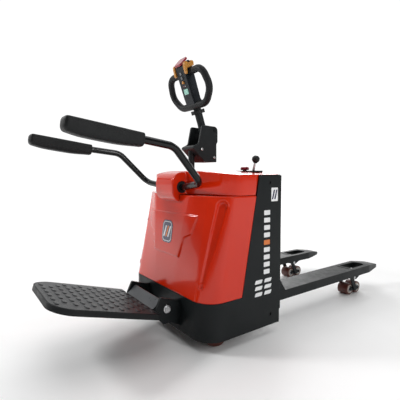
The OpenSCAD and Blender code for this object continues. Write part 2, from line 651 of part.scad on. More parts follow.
module platform_mat() color(dark) at_platform() translate([0, 0, -mat_drop - mat_t + 1.05]) {
    linear_extrude(mat_t - 3) platform_plan(5);
    for (row = [0:11], col = [-3:3]) {
        x = col * 62 + (row % 2) * 31;
        y = -heel_u - 22 - row * 41;
        if (abs(x) < platform_w / 2 - 30 - (row > 9 ? 45 : 0)) translate([x, y, 0]) linear_extrude(mat_t - 1.05) {
            translate([-11, -6]) square([22, 12]);
            for (k = [-1, 1]) translate([k * 11, 0]) circle(r = 6, $fn = 24);
        }
    }
}

// ---- Forks ------------------------------------------------------------------------------------

fork_mid = (forks_w - fork_w) / 2;
fork_base = fork_top - fork_t;
rear_plate_t = 8;
rear_plate_y = 1;
heel_y = 60;                        // rocker pivot behind the rear face
heel_z = fork_top - 26;
pin_r = 10;
cut_y = [wheel_pivot_y + 2, wheel_pivot_y + 192];   // opening over the load rollers

module fork_plan(i) polygon(rounded([[-fork_w / 2 + i, rear_plate_y + i, 0], [fork_w / 2 - i, rear_plate_y + i, 0],
    [fork_w / 2 - i, fork_l - 180 - i, 130], [fork_w / 2 - 32 - i * 0.6, fork_l - i, 40],
    [-fork_w / 2 + 32 + i * 0.6, fork_l - i, 40], [-fork_w / 2 + i, fork_l - 180 - i, 130]], 7));

// Side view of a fork: [y, z, radius]. i > 0 gives the hollow under its top plate.
function fork_side(i) = i > 0 ?
    rounded([[i, 0, 0], [i, fork_top - i, 0], [fork_l - 172, fork_top - i, 0], [fork_l - 172, 0, 0]]) :
    rounded([[0, fork_base, 0], [0, fork_top, 0], [fork_l - 160, fork_top, 40], [fork_l - 30, fork_top - 19, 10],
        [fork_l, fork_top - 26, 8], [fork_l, fork_base + 12, 6], [fork_l - 160, fork_base, 60],
        [wheel_pivot_y + 60, fork_base, 10], [wheel_pivot_y + 18, wheel_pivot_z - 12, 14],
        [wheel_pivot_y - 18, wheel_pivot_z - 12, 14], [wheel_pivot_y - 60, fork_base, 10]], 5);

module one_fork(s) translate([s * fork_mid, 0, 0]) difference() {
    intersection() {
        translate([0, 0, 60]) linear_extrude(200) fork_plan(0);
        slab(0, fork_w) polygon(fork_side(0));
    }
    intersection() {
        translate([0, 0, 20]) linear_extrude(220) fork_plan(fork_plate - 1.5);
        slab(0, fork_w) polygon(fork_side(fork_plate));
    }
    translate([0, 0, fork_base - 40]) linear_extrude(200)
        polygon(rounded([[-48, cut_y[0], 12], [48, cut_y[0], 12], [44, cut_y[1], 30], [-44, cut_y[1], 30]], 5));
    translate([-46, cut_y[0] - 30, fork_base - 40]) cube([92, 12, 200]);
    at_yz(wheel_pivot_y, wheel_pivot_z) rod_x(0, fork_w + 2, pin_r + 0.02);
    at_yz(heel_y, heel_z) rod_x(0, fork_w + 2, pin_r + 0.02);
}

rear_plate_top = side_h - 4;
rear_plate_low = 128;
shoe_z = [410, 640];                // fork guide shoes on the rails

module fork_frame() color(black) at_face() {
    difference() {
        union() {
            for (s = [-1, 1]) one_fork(s);
            slab(0, chassis_w - 4) polygon([[rear_plate_y, rear_plate_low], [rear_plate_y, rear_plate_top],
                [rear_plate_y + rear_plate_t, rear_plate_top], [rear_plate_y + rear_plate_t, rear_plate_low]]);
            for (s = [-1, 1], k = [-1, 1]) slab(s * fork_mid + k * (fork_w / 2 - 5), 8)
                polygon([[rear_plate_y + 2, fork_top - 2], [rear_plate_y + 2, fork_top + 150], [14, fork_top + 150], [120, fork_top - 2]]);
            for (s = [-1, 1], z = shoe_z) translate([s * 150 - 27, -52, z]) cube([54, 54, 50]);
            translate([-26, -cylinder_y - 24, lug_z]) cube([52, cylinder_y + 26, 20]);
        }
        for (s = [-1, 1]) translate([s * 150 - 15 - air, -46 - air, 200]) cube([30 + 2 * air, 30 + 2 * air, 600]);
        for (s = [-1, 1]) translate([s * 150 - 9, -60, 200]) cube([18, 30, 600]);
        for (s = [-1, 1]) translate([s * fork_mid - 11, -20, 60]) cube([22, 79, 180]);
        for (s = [-1, 1]) translate([s * fork_mid - fork_w / 2 + fork_plate - 1.5, -2, 60])
            cube([fork_w - 2 * fork_plate + 3, 12, fork_top - fork_plate - 60 - 20]);
    }
}

module fork_pins() color(steel) at_face() for (s = [-1, 1]) {
    at_yz(wheel_pivot_y, wheel_pivot_z) rod_x(s * fork_mid, fork_w - 1, pin_r);
    at_yz(heel_y, heel_z) rod_x(s * fork_mid, fork_w - 1, pin_r);
}

// ---- Lift linkage: rockers, push rods, load wheel arms and bogies -------------------------------

wheel_drop = wheel_pivot_z - roller_r;
wheel_arm_l = norm([wheel_reach, wheel_drop]);
wheel_angle = -atan(wheel_drop / wheel_reach);
low_angle = asin((lift - wheel_drop) / wheel_arm_l);
swing = low_angle - wheel_angle;    // how far the wheel arms turn over the whole lift
bogie_y = wheel_pivot_y + wheel_reach;
lever_l = lift / 2 / sin(swing / 2);

// Places of the push rod's two pins and of the lever's pin, forks raised, as [y, z].
rod_far = [wheel_pivot_y + crank_r * sin(swing / 2), wheel_pivot_z + crank_r * cos(swing / 2)];
rod_near = [heel_y + crank_r * sin(swing / 2), heel_z - crank_r * cos(swing / 2)];
lever_end = [heel_y - lever_l * cos(swing / 2), heel_z - lift / 2];
slot_play = 2.2;
rod_pin_r = 6;
lever_pin_r = 8;

// A flat bar between two points with round ends, drawn in (y, z).
module bar(a, b, r) {
    translate(a) circle(r = r);
    translate(b) circle(r = r);
    translate(a) rotate(atan2(b[1] - a[1], b[0] - a[0])) translate([0, 0.4 - r]) square([norm(b - a), 2 * r - 0.8]);
}

module rocker(s) color(steel) at_face() translate([s * fork_mid, 0, 0]) difference() {
    union() {
        slab(0, 12) bar([heel_y, heel_z], lever_end, 13);
        slab(0, 12) bar([heel_y, heel_z], rod_near, 12);
        at_yz(heel_y, heel_z) rod_x(0, 16, 16);
        at_yz(lever_end[0], lever_end[1]) rod_x(0, 38, lever_pin_r);
        at_yz(rod_near[0], rod_near[1]) rod_x(0, 34, rod_pin_r);
    }
    at_yz(heel_y, heel_z) rod_x(0, 80, pin_r + fit);
}

module link_brackets() color(dark) at_face() for (s = [-1, 1], k = [-1, 1])
    translate([s * fork_mid + k * 13.5, 0, 0]) difference() {
        slab(0, 10) polygon(rounded([[-75, 84, 6], [-3, 84, 6], [-3, 142, 10], [-40, 200, 10], [-40, shelf_z - shelf_t, 0],
            [-75, shelf_z - shelf_t, 0]], 4));
        slab(0, 12) bar([heel_y - lever_l - 1, lever_end[1]], [lever_end[0] + 1, lever_end[1]], lever_pin_r + slot_play);
    }

// The push rod: an eye on the wheel arm's crank and a slotted eye on the rocker's crank.
slot_drop = 2 * crank_r * (1 - cos(swing / 2)) + 1.5;

module push_rod(s) color(steel) at_face() translate([s * fork_mid, 0, 0]) {
    for (k = [-1, 1]) {
        slab(k * 11.5, 6) difference() {
            bar(rod_near, rod_near - [0, slot_drop], 10);
            bar(rod_near + [0, 0.6], rod_near - [0, slot_drop], rod_pin_r + 0.5);
        }
        slab(k * 11.5, 6) difference() {
            translate(rod_far) circle(r = 12);
            translate(rod_far) circle(r = rod_pin_r + fit);
        }
        slab(k * 11.5, 6) polygon([rod_near + [8.2, 3], rod_near + [60, 10], rod_far + [-60, 6], rod_far + [-12, 3],
            rod_far + [-12, -6], rod_far + [-60, -6], rod_near + [60, -4], rod_near + [8.2, -8]]);
    }
    slab(0, 23) polygon([rod_near + [60, 10], rod_far + [-60, 6], rod_far + [-60, -6], rod_near + [60, -4]]);
}

arm_plate_x = 51;                   // mid plane of the wheel arm's plates, from the fork's middle
bogie_plate_x = 43;

module wheel_arm(s) color(black) at_face() translate([s * fork_mid, 0, 0]) difference() {
    union() {
        for (k = [-1, 1]) slab(k * arm_plate_x, 8) bar([wheel_pivot_y, wheel_pivot_z], [bogie_y, roller_r], 16);
        at_yz(wheel_pivot_y, wheel_pivot_z) rod_x(0, 2 * arm_plate_x, 15);
        slab(0, 12) bar([wheel_pivot_y, wheel_pivot_z], rod_far, 12);
        at_yz(rod_far[0], rod_far[1]) rod_x(0, 34, rod_pin_r);
        for (k = [-1, 1]) at_yz(bogie_y, roller_r) rod_x(k * 47.5, 15, 9);
    }
    at_yz(wheel_pivot_y, wheel_pivot_z) rod_x(0, 160, pin_r + fit);
}

module bogie(s) color(black) at_face() translate([s * fork_mid, 0, 0]) {
    for (k = [-1, 1]) difference() {
        slab(k * bogie_plate_x, 6) union() {
            bar([bogie_y - roller_pitch / 2, roller_r], [bogie_y + roller_pitch / 2, roller_r], 12);
            translate([bogie_y, roller_r]) circle(r = 17);
        }
        at_yz(bogie_y, roller_r) rod_x(0, 120, 9 + fit);
    }
    for (k = [-1, 1]) at_yz(bogie_y + k * roller_pitch / 2, roller_r) rod_x(0, 2 * bogie_plate_x + 7, 8);
}

module roller(s, k) color(urethane) at_face() translate([s * fork_mid, 0, 0])
    at_yz(bogie_y + k * roller_pitch / 2, roller_r) rotate([0, 90, 0]) rotate_extrude($fn = 64)
        polygon(rounded([[8 + fit, -roller_w / 2, 0], [22, -roller_w / 2, 0], [24, -roller_w / 2 + 4, 0],
            [30, -roller_w / 2 + 4, 0], [31, -roller_w / 2, 0], [roller_r, -roller_w / 2, 4],
            [roller_r, roller_w / 2, 4], [31, roller_w / 2, 0], [30, roller_w / 2 - 4, 0],
            [24, roller_w / 2 - 4, 0], [22, roller_w / 2, 0], [8 + fit, roller_w / 2, 0]], 3));

chassis_shell();
chassis_frame();
front_cover();
top_cover();
cover_screws();
battery_pack();
motor_controller();
hydraulic_unit();
lift_cylinder();
steering_bearing();
arm_bushes();
lift_rails();
platform_brackets();
platform_bolts();
switch_plate();
link_brackets();
steering_column();
tiller_bracket();
drive_motor();
gearbox();
drive_tyre();
drive_hub();
tiller_shaft();
tiller_collar();
tiller_head();
handle_loop();
display();
belly_button();
drive_paddles();
horn_button();
lift_button();
lower_button();
emergency_button();
lever_stem();
lever_knob();
arm_tube(-1);  // arm_tube_left
arm_tube(1);  // arm_tube_right
arm_pad(-1);  // arm_pad_left
arm_pad(1);  // arm_pad_right
platform_tray();
platform_mat();
caster_yoke(-1);  // caster_yoke_left
caster_yoke(1);  // caster_yoke_right
caster_wheel(-1);  // caster_wheel_left
caster_wheel(1);  // caster_wheel_right
fork_frame();
piston_rod();
fork_pins();
rocker(-1);  // rocker_left
rocker(1);  // rocker_right
push_rod(-1);  // push_rod_left
push_rod(1);  // push_rod_right
wheel_arm(-1);  // wheel_arm_left
wheel_arm(1);  // wheel_arm_right
bogie(-1);  // bogie_left
bogie(1);  // bogie_right
roller(-1, -1);  // roller_left_front
roller(-1, 1);  // roller_left_rear
roller(1, -1);  // roller_right_front
roller(1, 1);  // roller_right_rear
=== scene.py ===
"""Looks of the electric pallet truck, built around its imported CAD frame. Metres, +Z up, forks along +Y."""

import json
import math

import bmesh
import bpy
import numpy as np
from mathutils import Matrix, Vector


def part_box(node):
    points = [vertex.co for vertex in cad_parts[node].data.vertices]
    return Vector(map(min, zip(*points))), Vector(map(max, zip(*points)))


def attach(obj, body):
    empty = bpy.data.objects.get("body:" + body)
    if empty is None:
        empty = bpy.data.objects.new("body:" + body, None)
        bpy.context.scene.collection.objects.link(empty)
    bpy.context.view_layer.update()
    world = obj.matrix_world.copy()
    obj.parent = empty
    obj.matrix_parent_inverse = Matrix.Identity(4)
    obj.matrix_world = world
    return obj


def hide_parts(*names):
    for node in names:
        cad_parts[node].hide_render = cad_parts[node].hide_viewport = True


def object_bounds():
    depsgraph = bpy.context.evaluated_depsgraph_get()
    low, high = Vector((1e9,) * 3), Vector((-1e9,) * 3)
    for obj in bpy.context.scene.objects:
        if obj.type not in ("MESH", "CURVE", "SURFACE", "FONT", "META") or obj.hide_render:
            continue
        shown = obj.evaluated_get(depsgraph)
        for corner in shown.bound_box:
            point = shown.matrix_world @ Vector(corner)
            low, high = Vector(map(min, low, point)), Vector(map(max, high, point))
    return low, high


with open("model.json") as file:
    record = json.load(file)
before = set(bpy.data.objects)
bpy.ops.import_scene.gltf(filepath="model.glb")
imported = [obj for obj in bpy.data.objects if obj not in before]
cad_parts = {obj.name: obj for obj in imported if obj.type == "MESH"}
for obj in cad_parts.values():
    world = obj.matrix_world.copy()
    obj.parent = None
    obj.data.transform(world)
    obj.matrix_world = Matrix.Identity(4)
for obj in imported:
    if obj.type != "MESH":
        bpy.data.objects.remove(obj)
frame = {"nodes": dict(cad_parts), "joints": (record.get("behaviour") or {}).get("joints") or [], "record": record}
CAD_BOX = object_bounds()
NODES = frame["nodes"]
JOINTS = {j["name"]: j for j in frame["joints"]}
MM = 0.001

SHELL_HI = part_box("chassis_shell")[1]
FACE = SHELL_HI.y  # rear face of the chassis
HALF_W = SHELL_HI.x
COVER_LO, COVER_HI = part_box("front_cover")


def at_face(x, y, z):
    """A point in millimetres from the chassis' rear face, forks along +y, as the part's source has it."""
    return Vector((x * MM, FACE + y * MM, z * MM))


# ---- Materials ---------------------------------------------------------------------------


class Nodes:
    """A material's node tree, with short calls for the nodes that the finishes share."""

    def __init__(self, name):
        self.material = bpy.data.materials.new(name)
        self.material.use_nodes = True
        self.tree = self.material.node_tree
        self.shader = self.tree.nodes["Principled BSDF"]
        self.at = self.new("ShaderNodeTexCoord").outputs["Object"]

    def new(self, kind, **values):
        node = self.tree.nodes.new(kind)
        for key, value in values.items():
            if key in node.inputs:
                node.inputs[key].default_value = value
            else:
                setattr(node, key, value)
        return node

    def link(self, a, b):
        self.tree.links.new(a, b)

    def noise(self, scale, detail=3.0, roughness=0.55):
        node = self.new("ShaderNodeTexNoise", Scale=scale, Detail=detail, Roughness=roughness)
        self.link(self.at, node.inputs["Vector"])
        return node.outputs["Fac"]

    def cells(self, scale, feature="F1"):
        node = self.new("ShaderNodeTexVoronoi", Scale=scale, feature=feature)
        self.link(self.at, node.inputs["Vector"])
        return node.outputs["Distance"]

    def span(self, value, low, high, from_low=0.3, from_high=0.7):
        node = self.new("ShaderNodeMapRange")
        self.link(value, node.inputs["Value"])
        limits = {"From Min": from_low, "From Max": from_high, "To Min": low, "To Max": high}
        for key, number in limits.items():
            node.inputs[key].default_value = number
        return node.outputs["Result"]

    def mix(self, share, a, b):
        """Colour between a and b; each is a colour or a socket."""
        node = self.new("ShaderNodeMix", data_type="RGBA")
        for key, value in (("Factor", share), ("A", a), ("B", b)):
            socket = [s for s in node.inputs if s.name == key and s.enabled][-1 if key != "Factor" else 0]
            if isinstance(value, (tuple, list)):
                socket.default_value = (*value, 1)
            elif isinstance(value, float):
                socket.default_value = value
            else:
                self.link(value, socket)
        return [s for s in node.outputs if s.enabled][0]

    def worn_edges(self, radius):
        """1 on convex edges and 0 on flats, broken up by noise."""
        bevel = self.new("ShaderNodeBevel", Radius=radius, samples=4)
        geometry = self.new("ShaderNodeNewGeometry")
        dot = self.new("ShaderNodeVectorMath", operation="DOT_PRODUCT")
        self.link(bevel.outputs["Normal"], dot.inputs[0])
        self.link(geometry.outputs["Normal"], dot.inputs[1])
        edge = self.span(dot.outputs["Value"], 1.0, 0.0, 0.86, 0.985)
        breakup = self.span(self.noise(60, 4), 0.0, 1.0, 0.48, 0.62)
        both = self.new("ShaderNodeMath", operation="MULTIPLY")
        self.link(edge, both.inputs[0])
        self.link(breakup, both.inputs[1])
        return both.outputs[0]

    def relief(self, height, distance, strength=1.0, radius=0.0008):
        """Bumps of that height on top of edges rounded to that radius."""
        bump = self.new("ShaderNodeBump", Strength=strength, Distance=distance)
        self.link(height, bump.inputs["Height"])
        if radius:
            bevel = self.new("ShaderNodeBevel", Radius=radius, samples=4)
            self.link(bevel.outputs["Normal"], bump.inputs["Normal"])
        self.link(bump.outputs["Normal"], self.shader.inputs["Normal"])


def finish_of(name, low, high, rough, grain, depth, wear=None, wear_colour=(0.3, 0.3, 0.3), patch=7,
              radius=0.0008, metallic=0.0, **shader):
    """A surface whose colour drifts between low and high, with fine grain and, if asked, worn edges."""
    m = Nodes(name)
    colour = m.mix(m.span(m.noise(patch, 5), 0.0, 1.0, 0.35, 0.65), low, high)
    if wear:
        colour = m.mix(m.worn_edges(wear), colour, wear_colour)
    m.link(colour, m.shader.inputs["Base Color"])
    m.link(m.span(m.noise(patch * 4, 4), rough[0], rough[1]), m.shader.inputs["Roughness"])
    m.relief(m.noise(grain, 3), depth, radius=radius)
    m.shader.inputs["Metallic"].default_value = metallic
    for key, value in shader.items():
        m.shader.inputs[key.replace("_", " ")].default_value = value
    return m.material


def pebbled(name, low, high, rough, scale, depth):
    """Moulded rubber or foam skin: a fine pebble grain."""
    m = Nodes(name)
    cell = m.cells(scale)
    m.link(m.mix(m.span(m.noise(12, 5), 0.0, 1.0), low, high), m.shader.inputs["Base Color"])
    m.link(m.span(cell, rough[0], rough[1], 0.0, 0.8), m.shader.inputs["Roughness"])
    m.relief(cell, depth, 0.7)
    m.shader.inputs["Specular IOR Level"].default_value = 0.25
    return m.material


def brushed(name, tint, rough):
    """Turned or brushed metal: fine lines along one direction, and a little tarnish."""
    m = Nodes(name)
    stretch = m.new("ShaderNodeMapping")
    stretch.inputs["Scale"].default_value = (1.0, 14.0, 14.0)
    m.link(m.at, stretch.inputs["Vector"])
    lines = m.new("ShaderNodeTexNoise", Scale=160.0, Detail=3.0)
    m.link(stretch.outputs["Vector"], lines.inputs["Vector"])
    dull = tuple(c * 0.62 for c in tint)
    m.link(m.mix(m.span(m.noise(45, 4), 0.0, 1.0), tint, dull), m.shader.inputs["Base Color"])
    m.link(m.span(lines.outputs["Fac"], rough[0], rough[1]), m.shader.inputs["Roughness"])
    m.relief(lines.outputs["Fac"], 0.00006)
    m.shader.inputs["Metallic"].default_value = 1.0
    return m.material


MATERIAL = {
    "black_paint": finish_of("satin_black_powder_coat", (0.0045, 0.0065, 0.0072),
        (0.0075, 0.0098, 0.0107), (0.36, 0.5), 900, 0.00010, wear=0.0012,
        wear_colour=(0.03, 0.034, 0.036), Specular_IOR_Level=0.2),
    "frame_paint": finish_of("matt_black_powder_coat", (0.005, 0.006, 0.0068), (0.009, 0.010, 0.011),
        (0.45, 0.6), 700, 0.00016, wear=0.0012, wear_colour=(0.034, 0.036, 0.037),
        Specular_IOR_Level=0.22),
    "gloss_black": finish_of("gloss_black_enamel", (0.003, 0.0034, 0.0038), (0.005, 0.0056, 0.006),
        (0.16, 0.24), 500, 0.00005, Specular_IOR_Level=0.2, Coat_Weight=0.2, Coat_Roughness=0.08),
    "grey_black_paint": finish_of("grey_black_powder_coat", (0.008, 0.0105, 0.0118),
        (0.0125, 0.0155, 0.017), (0.38, 0.52), 800, 0.00012, wear=0.0012,
        wear_colour=(0.045, 0.05, 0.055), Specular_IOR_Level=0.22),
    "grey_paint": finish_of("grey_enamel", (0.20, 0.21, 0.22), (0.27, 0.28, 0.29), (0.35, 0.5), 500,
        0.0001, wear=0.001, wear_colour=(0.42, 0.42, 0.42)),
    "red_cover": finish_of("red_orange_gloss_moulding", (0.600, 0.0200, 0.0015),
        (0.635, 0.0225, 0.0020), (0.16, 0.22), 90, 0.00004, patch=3, radius=0.0015,
        Specular_IOR_Level=0.22, Coat_Weight=0.4, Coat_Roughness=0.05),
    "black_plastic": finish_of("black_moulded_plastic", (0.006, 0.0065, 0.007), (0.010, 0.0105, 0.011),
        (0.42, 0.56), 1500, 0.00012, wear=0.0008, wear_colour=(0.03, 0.03, 0.03),
        Specular_IOR_Level=0.25),
    "head_plastic": finish_of("blue_black_moulded_plastic", (0.0055, 0.008, 0.0115),
        (0.009, 0.0125, 0.017), (0.36, 0.5), 1400, 0.0001, wear=0.0008, wear_colour=(0.035, 0.04, 0.05),
        Specular_IOR_Level=0.25),
    "soft_grip": pebbled("soft_grip_rubber", (0.0055, 0.0066, 0.0075), (0.0095, 0.011, 0.012),
        (0.45, 0.6), 1100, 0.0002),
    "pad_foam": pebbled("moulded_pad_foam", (0.0045, 0.0052, 0.0056), (0.0085, 0.0095, 0.010),
        (0.44, 0.6), 800, 0.0002),
    "mat_rubber": pebbled("studded_mat_rubber", (0.0065, 0.0076, 0.0088), (0.012, 0.0138, 0.0155),
        (0.3, 0.46), 700, 0.0002),
    "screen": finish_of("pale_green_screen", (0.20, 0.50, 0.40), (0.33, 0.66, 0.55), (0.1, 0.18), 300,
        0.00002, patch=60, Coat_Weight=0.6, Coat_Roughness=0.05),
    "red_button": finish_of("crimson_moulding", (0.25, 0.004, 0.018), (0.33, 0.007, 0.024),
        (0.25, 0.36), 900, 0.00005, patch=25, Coat_Weight=0.3, Coat_Roughness=0.1),
    "amber_plastic": finish_of("amber_moulding", (0.46, 0.19, 0.022), (0.56, 0.25, 0.035), (0.3, 0.42),
        900, 0.00006, patch=25, Coat_Weight=0.2, Coat_Roughness=0.15),
    "grey_button": finish_of("grey_moulding", (0.12, 0.125, 0.13), (0.17, 0.175, 0.18), (0.35, 0.5),
        900, 0.00006, patch=30),
    "zinc": brushed("bright_zinc", (0.66, 0.67, 0.68), (0.22, 0.38)),
    "bright_steel": brushed("ground_steel", (0.58, 0.59, 0.60), (0.2, 0.34)),
    "cast_housing": finish_of("painted_casting", (0.10, 0.10, 0.105), (0.15, 0.15, 0.155), (0.5, 0.65),
        220, 0.0005, wear=0.001, wear_colour=(0.3, 0.3, 0.3)),
    "alloy": brushed("blasted_alloy", (0.55, 0.56, 0.57), (0.4, 0.55)),
    "battery_case": finish_of("battery_case", (0.030, 0.055, 0.085), (0.04, 0.07, 0.10), (0.35, 0.5),
        700, 0.0001),
    "roller_tread": finish_of("brown_polyurethane", (0.080, 0.016, 0.010), (0.115, 0.026, 0.016),
        (0.3, 0.46), 300, 0.0002, patch=20, Coat_Weight=0.15, Coat_Roughness=0.3),
    "drive_tread": finish_of("tan_polyurethane", (0.10, 0.03, 0.015), (0.14, 0.045, 0.022), (0.4, 0.55),
        300, 0.0003, patch=15),
    "pale_ring": finish_of("pale_nylon", (0.50, 0.44, 0.38), (0.60, 0.54, 0.47), (0.4, 0.5), 700,
        0.0001, patch=30),
    "white_film": finish_of("white_film", (0.78, 0.79, 0.80), (0.86, 0.86, 0.86), (0.3, 0.42), 600,
        0.00003, patch=20),
    "navy_film": finish_of("navy_film", (0.010, 0.012, 0.055), (0.016, 0.02, 0.08), (0.22, 0.3), 600,
        0.00003, patch=20, Coat_Weight=0.4, Coat_Roughness=0.08),
    "orange_film": finish_of("orange_film", (0.66, 0.16, 0.02), (0.74, 0.21, 0.035), (0.28, 0.36), 600,
        0.00003, patch=20),
    "satin_plate": finish_of("satin_grey_plate", (0.030, 0.034, 0.038), (0.05, 0.055, 0.06),
        (0.26, 0.42), 400, 0.0001, wear=0.001, wear_colour=(0.12, 0.12, 0.12), metallic=0.3),
}

# ---- Mesh building -------------------------------------------------------------------------


def make(name, verts, faces, material, body, replaces=(), sharp=35):
    """A new piece from its points, shaded smooth apart from edges sharper than an angle, riding on a body."""
    mesh = bpy.data.meshes.new(name)
    mesh.from_pydata([tuple(v) for v in verts], [], faces)
    mesh.validate()
    bm = bmesh.new()
    bm.from_mesh(mesh)
    bmesh.ops.remove_doubles(bm, verts=bm.verts, dist=1e-6)
    bmesh.ops.recalc_face_normals(bm, faces=bm.faces)
    bm.to_mesh(mesh)
    bm.free()
    mesh.shade_smooth()
    mesh.set_sharp_from_angle(angle=math.radians(sharp))
    obj = bpy.data.objects.new(name, mesh)
    bpy.context.scene.collection.objects.link(obj)
    return settle(obj, material, body, replaces)


def settle(obj, material, body, replaces=()):
    obj.data.materials.clear()
    obj.data.materials.append(MATERIAL[material])
    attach(obj, body)
    if replaces:
        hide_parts(*replaces)
    return obj


def grid_faces(rows, columns, closed=False):
    """Quads between rows of points; closed joins each row's ends."""
    last = columns if closed else columns - 1
    return [(r * columns + c, r * columns + (c + 1) % columns, (r + 1) * columns + (c + 1) % columns,
             (r + 1) * columns + c) for r in range(rows - 1) for c in range(last)]


def smoothstep(t):
    t = np.clip(t, 0, 1)
    return t * t * (3 - 2 * t)


def fillet(points, radii, steps=8):
    """An open path with its inner corners rounded, each with its own radius."""
    path = [Vector(points[0])]
    for before, corner, after, r in zip(points, points[1:], points[2:], radii):
        before, corner, after = Vector(before), Vector(corner), Vector(after)
        u, v = (before - corner).normalized(), (after - corner).normalized()
        half = math.acos(max(-1, min(1, u.dot(v)))) / 2
        reach = r / math.tan(half)
        centre = corner + (u + v).normalized() * (r / math.sin(half))
        start, end = corner + u * reach - centre, corner + v * reach - centre
        turn = start.angle(end)
        for k in range(steps + 1):
            t = k / steps
            swing = start * math.sin((1 - t) * turn) + end * math.sin(t * turn)
            path.append(centre + swing / math.sin(turn))
    return path + [Vector(points[-1])]


def even(path, count):
    """The path again as that many evenly spaced points."""
    p = np.array([tuple(v) for v in path])
    run = np.concatenate([[0], np.cumsum(np.linalg.norm(np.diff(p, axis=0), axis=1))])
    at = np.linspace(0, run[-1], count)
    return np.stack([np.interp(at, run, p[:, k]) for k in range(p.shape[1])], axis=1)


def tube(name, path, radius, material, body, replaces=(), sides=28, frame_up=(0, 0, 1)):
    """A capped round bar along a path. radius is a number, or gives (across, up) at a share of the way."""
    p = np.array([tuple(v) for v in path])
    tangent = np.gradient(p, axis=0)
    tangent /= np.linalg.norm(tangent, axis=1)[:, None]
    up = np.array(frame_up, float)
    verts = []
    for k, (centre, t) in enumerate(zip(p, tangent)):
        side = np.cross(t, up)
        side /= np.linalg.norm(side)
        up = np.cross(side, t)
        a, b = radius(k / (len(p) - 1)) if callable(radius) else (radius, radius)
        for j in range(sides):
            angle = 2 * math.pi * j / sides
            verts.append(centre + side * a * math.cos(angle) + up * b * math.sin(angle))
    faces = grid_faces(len(p), sides, closed=True)
    faces += [tuple(range(sides - 1, -1, -1)), tuple((len(p) - 1) * sides + j for j in range(sides))]
    return make(name, verts, faces, material, body, replaces, sharp=50)


def lathe(name, profile, matrix, material, body, sides=40):
    """A turned piece: profile is (radius, height) from one end of its axis to the other, in millimetres."""
    verts, rows = [], len(profile)
    for r, z in profile:
        for j in range(sides):
            angle = 2 * math.pi * j / sides
            verts.append(matrix @ Vector((r * MM * math.cos(angle), r * MM * math.sin(angle), z * MM)))
    faces = grid_faces(rows, sides, closed=True)
    faces += [tuple(range(sides - 1, -1, -1)), tuple((rows - 1) * sides + j for j in range(sides))]
    return make(name, verts, faces, material, body, sharp=40)


def aim(origin, direction):
    """A matrix at origin whose z axis points along direction."""
    return Matrix.Translation(origin) @ Vector(direction).to_track_quat("Z", "Y").to_matrix().to_4x4()


def plate(name, outline, matrix, thickness, material, body, hole=None):
    """A thin plate from an outline in millimetres in the matrix's xy plane; hole is its inner outline."""
    n = len(outline)
    if hole is None:
        verts = [matrix @ Vector((x * MM, y * MM, z)) for z in (0, thickness) for x, y in outline]
        faces = [tuple(range(n - 1, -1, -1)), tuple(range(n, 2 * n))]
        faces += [(k, (k + 1) % n, n + (k + 1) % n, n + k) for k in range(n)]
    else:
        loops = [(outline, 0), (outline, thickness), (hole, thickness), (hole, 0)]
        verts = [matrix @ Vector((x * MM, y * MM, z)) for loop, z in loops for x, y in loop]
        faces = [(r * n + k, r * n + (k + 1) % n, (r + 1) % 4 * n + (k + 1) % n, (r + 1) % 4 * n + k)
                 for r in range(4) for k in range(n)]
    return make(name, verts, faces, material, body, sharp=30)


def round_box(w, h, r, steps=6, lean=0.0):
    """Outline of a rectangle with rounded corners, leaning sideways by a share of its height."""
    points = []
    for cx, cy, start in ((w / 2 - r, h / 2 - r, 0), (r - w / 2, h / 2 - r, 90), (r - w / 2, r - h / 2, 180),
                          (w / 2 - r, r - h / 2, 270)):
        for k in range(steps + 1):
            a = math.radians(start + 90 * k / steps)
            y = cy + r * math.sin(a)
            points.append((cx + r * math.cos(a) + lean * y, y))
    return points


def applied(obj):
    """Makes the result of an object's modifiers its own mesh."""
    mesh = bpy.data.meshes.new_from_object(obj.evaluated_get(bpy.context.evaluated_depsgraph_get()))
    obj.modifiers.clear()
    obj.data = mesh
    return mesh


def softened(name, node, voxel, passes, material, body, hold_below=None):
    """A moulded copy of a CAD node: its surface rebuilt at a small voxel size and its edges eased above the
    height hold_below."""
    obj = bpy.data.objects.new(name, NODES[node].data.copy())
    bpy.context.scene.collection.objects.link(obj)
    bm = bmesh.new()
    bm.from_mesh(obj.data)
    bmesh.ops.remove_doubles(bm, verts=bm.verts, dist=1e-5)
    bm.to_mesh(obj.data)
    bm.free()
    remesh = obj.modifiers.new("remesh", "REMESH")
    remesh.mode, remesh.voxel_size, remesh.use_smooth_shade = "VOXEL", voxel, True
    mesh = applied(obj)
    ease = obj.modifiers.new("ease", "SMOOTH")
    ease.factor, ease.iterations = 0.5, passes
    if hold_below is not None:
        group = obj.vertex_groups.new(name="eased")
        group.add([v.index for v in mesh.vertices if v.co.z > hold_below], 1.0, "REPLACE")
        ease.vertex_group = "eased"
    mesh = applied(obj)
    mesh.shade_smooth()
    return settle(obj, material, body, (node,))


# ---- CAD nodes: finishes and eased edges ----------------------------------------------------

SLOT_OF = {part["node"]: part["material_slot"] for part in frame["record"]["subparts"]}
EDGE = {"chassis_shell": 1.2, "chassis_frame": 1.0, "fork_frame": 1.2, "platform_brackets": 2.0,
        "platform_tray": 1.2, "battery_pack": 3.0, "motor_controller": 2.0, "switch_plate": 1.2,
        "link_brackets": 1.0}

